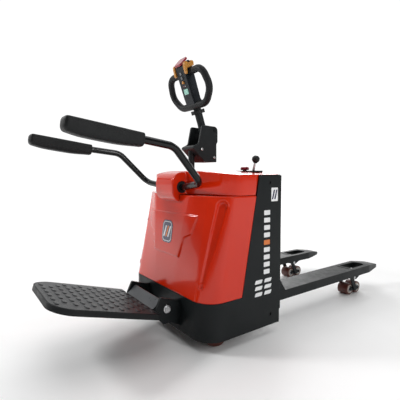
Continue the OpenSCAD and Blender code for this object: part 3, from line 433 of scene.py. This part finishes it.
for node_name, node in NODES.items():
    finish = "gloss_black" if node_name.startswith("arm_tube") else SLOT_OF[node_name]
    node.data.materials.clear()
    node.data.materials.append(MATERIAL[finish])
    if "custom_normal" in node.data.attributes:
        node.data.attributes.remove(node.data.attributes["custom_normal"])
    node.data.shade_smooth()
    weld = node.modifiers.new("weld", "WELD")
    weld.merge_threshold = 1e-5
    bevel = node.modifiers.new("bevel", "BEVEL")
    bevel.width = EDGE.get(node_name, 0.5) * MM
    bevel.segments, bevel.limit_method, bevel.angle_limit = 2, "ANGLE", math.radians(32)
    bevel.harden_normals, bevel.use_clamp_overlap = True, True

# ---- Front cover -----------------------------------------------------------------------------

COVER_Z = COVER_LO.z, COVER_HI.z
LEAN_LOW, LEAN_HIGH = 273, 156  # front edge of a side sheet at the skirt's top and at the sheet's top
SKIRT_TOP, SIDE_TOP = 245, SHELL_HI.z / MM
GAP = 1.5
HALF = HALF_W / MM - 0.5
LOW_FRONT, HIGH_FRONT = 499, 440
TOP_RADIUS = 7
CORNER = 110  # plan radius of the cover's lower corners
MARK = 0.25 * MM  # thickness of a film mark
COVER_WALL = 4 * MM
SHIELD_RISE = 6.0
CHANNEL_WIDTH = 42, 17  # at its upper and lower end
CHANNEL_DEPTH = 20, 8
BOSS_R, BOSS_RISE = 17, 3.0  # the ring at the channel's lower end
SHIELD = [(-250, 657), (250, 657), (215, 560), (165, 538), (130, 430), (-130, 430), (-165, 538), (-215, 560)]
CHANNEL = Vector((377, -392, 706)), Vector((332, -484, 322))  # ends of the hollow down each front corner


def outline_distance(x, z, outline):
    """Distance into an outline: positive inside, negative outside."""
    best = np.full(x.shape, 1e9)
    inside = np.zeros(x.shape, bool)
    for (ax, az), (bx, bz) in zip(outline, outline[1:] + outline[:1]):
        dx, dz = bx - ax, bz - az
        t = np.clip(((x - ax) * dx + (z - az) * dz) / (dx * dx + dz * dz), 0, 1)
        best = np.minimum(best, np.hypot(x - ax - t * dx, z - az - t * dz))
        crosses = (az > z) != (bz > z)
        inside ^= crosses & (x < (bx - ax) * (z - az) / ((bz - az) or 1e-9) + ax)
    return np.where(inside, best, -best)


def cover_half(t, columns):
    """Right half of the cover's plan at a share of its height, from its rear edge to the middle."""
    z = COVER_Z[0] / MM + t * (COVER_Z[1] - COVER_Z[0]) / MM
    rear = LEAN_LOW + (LEAN_HIGH - LEAN_LOW) * (z - SKIRT_TOP) / (SIDE_TOP - SKIRT_TOP) + GAP
    n_side, n_corner, n_facet, n_crease, n_front = columns
    low_corner = [(HALF - CORNER + CORNER * math.cos(a), -(LOW_FRONT - CORNER) - CORNER * math.sin(a))
                  for a in np.linspace(0, math.pi / 2, n_corner)]
    low = [even([(HALF, -rear), (HALF, -(LOW_FRONT - CORNER))], n_side), np.array(low_corner),
           even([(HALF - CORNER, -LOW_FRONT), (106, -LOW_FRONT)], n_facet),
           even([(106, -LOW_FRONT), (82, -LOW_FRONT)], n_crease),
           even([(82, -LOW_FRONT), (0, -LOW_FRONT)], n_front)]
    turn = fillet([(HALF, -rear, 0), (HALF, -354, 0), (294, -406, 0), (194, -HIGH_FRONT, 0)], [60, 90], 14)
    high = [even([(HALF, -rear), tuple(turn[1])[:2]], n_side),
            even([tuple(v)[:2] for v in turn[1:-1]], n_corner),
            even([tuple(turn[-2])[:2], (206, -HIGH_FRONT + 4)], n_facet),
            even([(206, -HIGH_FRONT + 4), (180, -HIGH_FRONT)], n_crease),
            even([(180, -HIGH_FRONT), (0, -HIGH_FRONT)], n_front)]
    a = np.concatenate([s[:-1] for s in low] + [low[-1][-1:]])
    b = np.concatenate([s[:-1] for s in high] + [high[-1][-1:]])
    return a + (b - a) * t, z


def cover_surface(rows, columns):
    """The cover's outer face as rows of points, with the raised shield and the hollow in each corner."""
    points = []
    top_edge = 1 - TOP_RADIUS / (COVER_Z[1] - COVER_Z[0]) * MM
    for t in np.linspace(0, top_edge, rows):
        half, z = cover_half(t, columns)
        left = half[:-1].copy()
        left[:, 0] *= -1
        row = np.concatenate([half, left[::-1]])
        points.append(np.column_stack([row, np.full(len(row), z)]))
    p = np.array(points)
    along, up = np.gradient(p, axis=1), np.gradient(p, axis=0)
    normal = np.cross(up, along)
    normal /= np.linalg.norm(normal, axis=2)[:, :, None]
    normal *= np.sign(np.sum(normal * (p - np.array([0, -100, 500])), axis=2))[:, :, None]
    front = smoothstep((-p[:, :, 1] - 380) / 30)
    raised = SHIELD_RISE * smoothstep(outline_distance(p[:, :, 0], p[:, :, 2], SHIELD) / 6 + 0.2) * front
    a, b = np.array(CHANNEL[0]), np.array(CHANNEL[1])
    mirrored = p.copy()
    mirrored[:, :, 0] = np.abs(mirrored[:, :, 0])
    share = np.clip(((mirrored - a) @ (b - a)) / ((b - a) @ (b - a)), 0, 1)
    away = np.linalg.norm(mirrored - (a + share[:, :, None] * (b - a)), axis=2)
    width = CHANNEL_WIDTH[0] - (CHANNEL_WIDTH[0] - CHANNEL_WIDTH[1]) * share
    depth = CHANNEL_DEPTH[0] - (CHANNEL_DEPTH[0] - CHANNEL_DEPTH[1]) * share
    hollow = depth * smoothstep((width - away) / (13 - 5 * share))
    boss = np.linalg.norm(mirrored - b, axis=2)
    ring = BOSS_RISE * smoothstep(1 - np.abs(boss - BOSS_R) / 4)
    p = p + normal * (raised - hollow + ring)[:, :, None]
    edge = p[-1]
    along = np.gradient(edge[:, :2], axis=0)
    inward = np.column_stack([along[:, 1], -along[:, 0]]) / np.linalg.norm(along, axis=1)[:, None]
    inward *= np.sign(np.sum(inward * (np.array([0, -150]) - edge[:, :2]), axis=1))[:, None]
    bends = np.linspace(0.25, math.pi / 2, 6)
    lip = [(TOP_RADIUS * (1 - math.cos(a)), TOP_RADIUS * math.sin(a)) for a in bends]
    for inset, rise in lip + [(70, TOP_RADIUS)]:
        over = np.column_stack([edge[:, :2] + inward * inset, np.full(len(edge), edge[0, 2] + rise)])
        p = np.concatenate([p, over[None]])
    return p


def front_cover():
    rows, columns = 150, (24, 46, 44, 6, 22)
    surface = cover_surface(rows, columns)
    verts = [at_face(*v) for v in surface.reshape(-1, 3)]
    faces = grid_faces(surface.shape[0], surface.shape[1])
    obj = make("front_cover_moulding", verts, faces, "red_cover", "chassis", ("front_cover",),
               sharp=60)
    wall = obj.modifiers.new("wall", "SOLIDIFY")
    wall.thickness, wall.offset = COVER_WALL, -1.0
    centre = Vector((0, -200, 500))
    middle = obj.data.polygons[len(obj.data.polygons) // 2]
    if middle.normal.dot(middle.center - at_face(*centre)) < 0:
        wall.offset = 1.0
    return surface


def spot_on(surface, x, z):
    """The point of the cover's face nearest to that x and z."""
    flat = surface.reshape(-1, 3)
    return flat[np.argmin((flat[:, 0] - x) ** 2 + (flat[:, 2] - z) ** 2)]


surface = front_cover()
softened("top_cover_moulding", "top_cover", 2.8 * MM, 12, "red_cover", "chassis",
         hold_below=COVER_HI.z + 4 * MM)


def badge():
    """A plain rounded badge with three slanted bars, in the middle of the shield."""
    low, high = spot_on(surface, 0, 500), spot_on(surface, 0, 600)
    up = (at_face(*high) - at_face(*low)).normalized()
    right = Vector((1, 0, 0))
    out = right.cross(up)
    centre = (at_face(*low) + at_face(*high)) / 2 + up * 2 * MM
    place = Matrix.Translation(centre) @ Matrix((right, up, out)).transposed().to_4x4()
    lift = Matrix.Translation((0, 0, 0.8 * MM))
    plate("badge_plate", round_box(106, 124, 30), place, 1.0 * MM, "navy_film", "chassis")
    plate("badge_rim", round_box(92, 110, 25), place @ lift, 0.5 * MM, "white_film", "chassis",
          hole=round_box(84, 102, 21))
    for k, finish in ((-1, "white_film"), (0, "orange_film"), (1, "white_film")):
        bar = Matrix.Translation((k * 22 * MM, 0, 0.8 * MM))
        plate(f"badge_bar_{k + 2}", round_box(13, 62, 5, lean=0.32), place @ bar, 0.6 * MM, finish, "chassis")


badge()


def side_marks():
    """Plain marks on both side sheets: a square with two slanted bars, a column of bars and six stripes."""
    for s, side in ((1, "right"), (-1, "left")):
        def on_side(y, z, lift=0.0):
            out = Vector((s, 0, 0))
            up = Vector((0, 0, 1))
            along = up.cross(out)
            m = Matrix((along, up, out)).transposed().to_4x4()
            return Matrix.Translation(Vector((s * (HALF_W + lift * MM), FACE + y * MM, z * MM))) @ m

        plate(f"side_square_{side}", round_box(50, 72, 4), on_side(-45, 757), MARK, "white_film", "chassis")
        for k in (-1, 1):
            plate(f"side_square_bar_{side}_{2 + k}", round_box(11, 50, 3, lean=0.3 * s),
                  on_side(-45 + k * 9, 757, 0.2), 0.2 * MM, "navy_film", "chassis")
        for k in range(9):
            finish = "orange_film" if k == 4 else "white_film"
            plate(f"side_bar_{side}_{k + 1}", round_box(44, 25, 4), on_side(-100, 664 - k * 39), MARK,
                  finish, "chassis")
        for k, y in ((1, -158), (2, -90)):
            for bar in (-1, 0, 1):
                plate(f"side_stripe_{side}_{k}_{bar + 2}", round_box(50, 20, 5, lean=0.4 * s),
                      on_side(y, 272 + bar * 33), MARK, "white_film", "chassis")


side_marks()


def small_fixings():
    """Plugs and screws on the covers and the tiller bracket."""
    head = [(0.2, 0), (6.5, 0), (7.5, 1.0), (7.5, 2.2), (6.2, 3.4), (3.4, 3.6), (3.2, 2.0), (0.2, 2.0)]
    spot = spot_on(surface, -304, 586)
    lathe("cover_plug", head, aim(at_face(*spot), (-0.35, -0.93, 0.1)), "zinc", "chassis")
    for s in (-1, 1):
        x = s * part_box("tiller_bracket")[1].x / MM
        for k, (y, z) in enumerate(((-273, 1007), (-185, 963))):
            lathe(f"bracket_screw_{'left' if s < 0 else 'right'}_{k + 1}", head,
                  aim(at_face(x - s * 0.5, y, z), (s, 0, 0)), "zinc", "steered_unit")


small_fixings()

# ---- Tiller ------------------------------------------------------------------------------------

PIVOT = Vector(JOINTS["tiller_tilt"]["pos_m"])
TILLER_LEAN = math.radians(18.5)
TILLER = Matrix.Translation(PIVOT) @ Matrix.Rotation(TILLER_LEAN, 4, "X")


def on_tiller(x, y, z):
    return TILLER @ Vector((x * MM, y * MM, z * MM))


def tiller():
    softened("tiller_bracket_casting", "tiller_bracket", 1.8 * MM, 5, "grey_black_paint", "steered_unit")
    softened("tiller_head_moulding", "tiller_head", 1.4 * MM, 5, "head_plastic", "tiller")
    softened("drive_paddles_moulding", "drive_paddles", 0.9 * MM, 6, "amber_plastic", "paddles")
    softened("belly_button_cap", "belly_button", 0.9 * MM, 4, "red_button", "belly_cap")
    softened("tiller_collar_moulding", "tiller_collar", 0.9 * MM, 4, "black_plastic", "tiller")
    corners = [(0, -56, 162), (120, -56, 162), (185, -56, 236), (158, -60, 344), (34, -50, 344)]
    half = fillet(corners, [72, 72, 58], 14)
    whole = [Vector((-v.x, v.y, v.z)) for v in reversed(half)] + half[1:]
    path = even([on_tiller(*v) for v in whole], 180)

    def section(t):
        low_bar = math.exp(-(((t - 0.5) / 0.11) ** 2))
        return (19 + 2 * low_bar) * MM, (19 + 6 * low_bar) * MM

    across = TILLER.to_3x3() @ Vector((0, 1, 0))
    tube("handle_loop_grip", path, section, "soft_grip", "tiller", replaces=("handle_loop",), frame_up=across)
    for x, finish in ((-6, "red_button"), (6, "white_film")):
        m = Matrix.Translation(on_tiller(x, -83.5, 280)) @ TILLER.to_3x3().to_4x4()
        m = m @ Matrix.Rotation(math.radians(90), 4, "X")
        plate(f"status_mark_{finish}", round_box(8, 10, 2.5), m, 0.8 * MM, finish, "tiller")
    for s in (-1, 1):
        out = TILLER.to_3x3() @ Vector((s, 0, 0))
        for k, z in enumerate((176, 330)):
            lathe(f"head_screw_{'left' if s < 0 else 'right'}_{k + 1}",
                  [(0.2, 0), (3.2, 0), (4.0, 0.8), (3.6, 1.8), (0.2, 2.0)],
                  aim(on_tiller(s * 40, -50, z), out), "zinc", "tiller", sides=20)


tiller()

# ---- Side arms and pads ---------------------------------------------------------------------

ARM_PATH = [(46, -427, 797), (98, -427, 797), (284, -443, 819), (310, -610, 990), (329, -770, 1009),
            (330, -1060, 1048)]
ARM_RADII = [60, 55, 90, 60]
PAD_LEAN = math.atan(47 / 340)
PAD_AT = (330, -770, 1007)
PAD_LENGTH, PAD_HALF = 334, 38


LOW_AT = np.linspace(0, 1, 41)  # depth of the pad's belly along its length, eased between a few stations
STATIONS = np.interp(LOW_AT, [0, 0.3, 0.7, 0.86, 1], [30, 40, 40, 37, 27])
LOW_DEPTH = np.convolve(np.pad(STATIONS, 4, mode="edge"), np.ones(9) / 9, mode="valid")


def pad_section(share, angle):
    """A point of the pad's skin, in millimetres: x across, z up, at that share of its length."""
    inner, outer = max(0.0, 1 - share / 0.022), max(0.0, (share - 0.93) / 0.07)
    blunt = (1 - 0.20 * inner ** 2) * math.sqrt(max(0.0, 1 - outer ** 3))
    half = PAD_HALF * (0.86 + 0.14 * smoothstep(share / 0.5)) * blunt
    top = 28 * blunt
    low = np.interp(share, LOW_AT, LOW_DEPTH) * blunt
    c, s = math.cos(angle), math.sin(angle)
    power = 0.42 if s > 0 else 0.55
    x = half * math.copysign(abs(c) ** power, c)
    z = (top if s > 0 else low) * math.copysign(abs(s) ** power, s)
    ribbed = math.exp(-(((share - 0.46) / 0.22) ** 4)) * math.exp(-((z - 4) / 14) ** 4)
    x -= math.copysign(2.0 * ribbed * (0.5 + 0.5 * math.cos(share * PAD_LENGTH / 9.5 * 2 * math.pi)), c)
    seam = 0.8 * math.exp(-((z - 20) / 1.6) ** 2) * (abs(c) > 0.3)
    return x * (1 - seam / PAD_HALF), z


def arm(s, side):
    place = [at_face(x, y, z) for x, y, z in fillet(ARM_PATH, ARM_RADII, 14)]
    path = [Vector((s * v.x, v.y, v.z)) for v in place]
    tube(f"arm_bar_{side}", even(path, 110), 17.5 * MM, "gloss_black", f"side_arm_{side}",
         (f"arm_tube_{side}",), sides=32)
    lean = Matrix.Translation(at_face(*PAD_AT)) @ Matrix.Rotation(-PAD_LEAN, 4, "X")
    rings, sides = 150, 56
    verts = []
    for k in range(rings):
        share = 0.5 - 0.5 * math.cos(math.pi * 0.999 * k / (rings - 1))
        for j in range(sides):
            x, z = pad_section(share, 2 * math.pi * j / sides)
            v = lean @ (Vector((x, -6 - share * (PAD_LENGTH - 8), z)) * MM)
            verts.append(Vector((s * v.x, v.y, v.z)))
    faces = grid_faces(rings, sides, closed=True)
    faces += [tuple(range(sides - 1, -1, -1)), tuple((rings - 1) * sides + j for j in range(sides))]
    pad = make(f"arm_pad_skin_{side}", verts, faces, "pad_foam", f"side_arm_{side}",
               (f"arm_pad_{side}",), sharp=70)


arm(1, "right")
arm(-1, "left")

# ---- Platform --------------------------------------------------------------------------------

HINGE = Vector(JOINTS["platform_fold"]["pos_m"])
TILT = math.radians(16.5)
PLATFORM = Matrix.Translation(HINGE) @ Matrix.Rotation(-TILT, 4, "X")
HEEL, REACH, PLAT_HALF, MAT_TOP = -66, -576, 236, -10
EAR, EAR_HALF = 168, 9.5


def platform_mat():
    """The rubber mat with staggered oval studs, each with a domed top."""
    base = []
    inset, corner = 5, 100
    for s in (1, -1):
        arc = [(s * (PLAT_HALF - inset - corner + corner * math.cos(a)),
                REACH + inset + corner - corner * math.sin(a)) for a in np.linspace(0, math.pi / 2, 9)]
        base += arc if s > 0 else arc[::-1]
    base += [(-PLAT_HALF + inset, HEEL - inset)]
    for s in (-1, 1):
        near, far = s * EAR - EAR_HALF - inset, s * EAR + EAR_HALF + inset
        edge, notch = HEEL - inset, HEEL - 12 - inset
        base += [(near, edge), (near, notch), (far, notch), (far, edge)]
    base += [(PLAT_HALF - inset, HEEL - inset)]
    n = len(base)
    low, high = MAT_TOP - 4.9, MAT_TOP - 3.4
    verts = [PLATFORM @ (Vector((x, y, z)) * MM) for z in (low, high) for x, y in base]
    faces = [tuple(range(n - 1, -1, -1)), tuple(range(n, 2 * n))]
    faces += [(k, (k + 1) % n, n + (k + 1) % n, n + k) for k in range(n)]
    rings = [(1.0, high - 0.3), (0.97, high + 1.6), (0.88, high + 2.7), (0.62, high + 3.3),
             (0.25, high + 3.4)]
    for row in range(12):
        for col in range(-3, 4):
            x, y = col * 62 + (row % 2) * 31, HEEL - 22 - row * 41
            if abs(x) >= PLAT_HALF - 30 - (45 if row > 9 else 0):
                continue
            start = len(verts)
            for scale, z in rings:
                for j in range(20):
                    a = 2 * math.pi * j / 20
                    dx = math.copysign(10, math.cos(a)) * scale + 10 * scale * math.cos(a)
                    verts.append(PLATFORM @ (Vector((x + dx, y + 10 * scale * math.sin(a), z)) * MM))
            faces += [tuple(start + v for v in f) for f in grid_faces(len(rings), 20, closed=True)]
            faces.append(tuple(start + (len(rings) - 1) * 20 + j for j in range(20)))
    make("platform_mat_rubber", verts, faces, "mat_rubber", "platform", ("platform_mat",),
         sharp=50)


platform_mat()


def hinge_cover():
    """The satin folded plate that covers the hinge, and the washers beside it."""
    profile = [(HEEL - 5, MAT_TOP - 3.0), (HEEL + 2, MAT_TOP + 0.8), (-34.5, 36.8), (-30, 37.2), (-28.6, 34)]
    inner = [(y + 1.0, z - 1.6) for y, z in profile[:-1]] + [(-29.8, 33.4)]
    half = EAR - 17
    verts = []
    for x in np.linspace(-half, half, 9):
        verts += [PLATFORM @ (Vector((x, y, z)) * MM) for y, z in profile + inner[::-1]]
    ring = len(profile) * 2
    faces = grid_faces(9, ring, closed=True)
    faces += [tuple(range(ring - 1, -1, -1)), tuple(8 * ring + j for j in range(ring))]
    make("hinge_cover_plate", verts, faces, "satin_plate", "platform", sharp=30)
    for s in (-1, 1):
        x = s * (EAR + 8) * MM
        lathe(f"hinge_washer_{'left' if s < 0 else 'right'}",
              [(10.2, 0.05), (20, 0.05), (21, 0.6), (21, 1.8), (20, 2.4), (10.2, 2.4)],
              aim(Vector((x, HINGE.y, HINGE.z)), (s, 0, 0)), "zinc", "chassis")


hinge_cover()

# ---- Wheels ------------------------------------------------------------------------------------


def roller_dress():
    """Pale rings and bright seals on both ends of each load roller."""
    for side in ("left", "right"):
        for end in ("front", "rear"):
            node = f"roller_{side}_{end}"
            lo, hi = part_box(node)
            centre, half = (lo + hi) / 2, (hi.x - lo.x) / 2 / MM
            ring = [(24.4, half - 3.8), (29.6, half - 3.8), (29.6, half - 0.6), (28.8, half - 0.1),
                    (25.2, half - 0.1), (24.4, half - 0.6)]
            seal = [(9.2, half + 0.02), (20.6, half + 0.02), (21, half + 0.3), (20, half + 0.9),
                    (10, half + 0.9), (9.2, half + 0.5)]
            for s in (-1, 1):
                m = aim(centre, (s, 0, 0))
                end_of = "out" if s > 0 else "in"
                body = f"load_roller_{side}_{end}"
                lathe(f"{node}_ring_{end_of}", ring, m, "pale_ring", body)
                lathe(f"{node}_seal_{end_of}", seal, m, "bright_steel", body)


roller_dress()

CASTER_TURN = math.radians(145)
CASTER_HUB = [(8.4, 24.02), (25, 24.02), (26, 24.3), (24, 24.8), (12, 25.0), (8.4, 24.8)]
for s, side in ((-1, "left"), (1, "right")):
    lo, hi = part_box(f"caster_wheel_{side}")
    centre = (lo + hi) / 2
    axle = Vector((math.cos(s * CASTER_TURN), math.sin(s * CASTER_TURN), 0))
    for k in (-1, 1):
        lathe(f"caster_hub_{side}_{'a' if k > 0 else 'b'}", CASTER_HUB, aim(centre, axle * k), "pale_ring",
              f"caster_tread_{side}")

# ---- Controls on the deck ------------------------------------------------------------------

softened("emergency_button_cap", "emergency_button", 0.8 * MM, 4, "red_button", "emergency_cap")
lever_lo, lever_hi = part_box("lever_knob")
softened("lever_knob_moulding", "lever_knob", 0.9 * MM, 4, "black_plastic", "lever")
knob_centre = (lever_lo + lever_hi) / 2
# Painted highlights: three small white discs on the front of the black knob, standing in for the lamps' glints on
# it.
for k, (dx, dz) in enumerate(((-7, 6), (6, 7), (0, -6))):
    towards = Vector((dx * MM, -0.0185, dz * MM)).normalized()
    lathe(f"knob_painted_glint_{k + 1}", [(0.1, 0), (3.4, 0), (3.2, 0.5), (0.1, 0.7)],
          aim(knob_centre + towards * 0.0196, towards), "white_film", "lever", sides=16)

# ---- Floor, light and camera ---------------------------------------------------------------


def stage():
    """A pale floor that brightens away from the object."""
    mesh = bpy.data.meshes.new("floor")
    size = 40
    corners = [(-size, -size, 0), (size, -size, 0), (size, size, 0), (-size, size, 0)]
    mesh.from_pydata(corners, [], [(0, 1, 2, 3)])
    floor = bpy.data.objects.new("floor", mesh)
    floor.location.z = CAD_BOX[0][2] - 0.0005
    bpy.context.scene.collection.objects.link(floor)
    m = Nodes("pale_floor")
    tone = m.mix(m.span(m.noise(1.5, 3), 0.0, 1.0), (0.9, 0.9, 0.9), (0.94, 0.94, 0.94))
    m.link(tone, m.shader.inputs["Base Color"])
    m.link(m.span(m.noise(30, 3), 0.5, 0.6), m.shader.inputs["Roughness"])
    away = m.new("ShaderNodeVectorMath", operation="LENGTH")
    m.link(m.at, away.inputs[0])
    m.shader.inputs["Emission Color"].default_value = (1, 1, 1, 1)
    m.link(m.span(away.outputs["Value"], 0.0, 0.8, 1.6, 6.0), m.shader.inputs["Emission Strength"])
    floor.data.materials.append(m.material)


def area_light(name, at, towards, size, watts):
    light = bpy.data.lights.new(name, "AREA")
    light.shape, light.size, light.size_y = "RECTANGLE", size[0], size[1]
    light.energy = watts
    obj = bpy.data.objects.new(name, light)
    obj.location = at
    obj.rotation_euler = (Vector(towards) - Vector(at)).to_track_quat("-Z", "Y").to_euler()
    bpy.context.scene.collection.objects.link(obj)


def lights():
    """A white studio, bright behind the object as the camera sees it, with four soft lights."""
    world = bpy.data.worlds.new("studio")
    world.use_nodes = True
    tree = world.node_tree
    background = tree.nodes["Background"]
    background.inputs["Color"].default_value = (1, 1, 1, 1)
    direction = tree.nodes.new("ShaderNodeTexCoord").outputs["Generated"]
    towards = tree.nodes.new("ShaderNodeVectorMath")
    towards.operation = "DOT_PRODUCT"
    towards.inputs[1].default_value = (-0.81, 0.58, 0.0)
    fade = tree.nodes.new("ShaderNodeMapRange")
    fade.interpolation_type = "SMOOTHSTEP"
    for key, value in (("From Min", 0.0), ("From Max", 0.75), ("To Min", 0.13), ("To Max", 1.05)):
        fade.inputs[key].default_value = value
    tree.links.new(direction, towards.inputs[0])
    tree.links.new(towards.outputs["Value"], fade.inputs["Value"])
    tree.links.new(fade.outputs["Result"], background.inputs["Strength"])
    bpy.context.scene.world = world
    middle = (0, -0.2, 0.5)
    area_light("key", (-2.6, -3.6, 3.4), middle, (0.9, 0.9), 105)
    area_light("side", (4.2, 0.2, 2.4), middle, (0.5, 2.4), 55)
    area_light("top", (0.0, 0.3, 5.5), middle, (6.0, 6.0), 150)
    area_light("rim", (-3.2, 3.2, 2.4), middle, (2.0, 2.0), 50)


def camera():
    """The photograph's place and lens, from its perspective."""
    data = bpy.data.cameras.new("camera")
    data.sensor_fit, data.sensor_width, data.lens = "HORIZONTAL", 36, 31.004
    data.clip_end = 100
    obj = bpy.data.objects.new("camera", data)
    right, up, ahead = Vector((0.58217, 0.81306, -0.00441)), Vector((-0.05512, 0.04488, 0.99747)), \
        Vector((-0.81120, 0.58045, -0.07094))
    at = at_face(1647.5, -1424.6, 858.4)
    obj.matrix_world = Matrix.Translation(at) @ Matrix((right, up, -ahead)).transposed().to_4x4()
    bpy.context.scene.collection.objects.link(obj)
    bpy.context.scene.camera = obj


stage()
lights()
camera()
bpy.context.scene.view_settings.view_transform = "Standard"
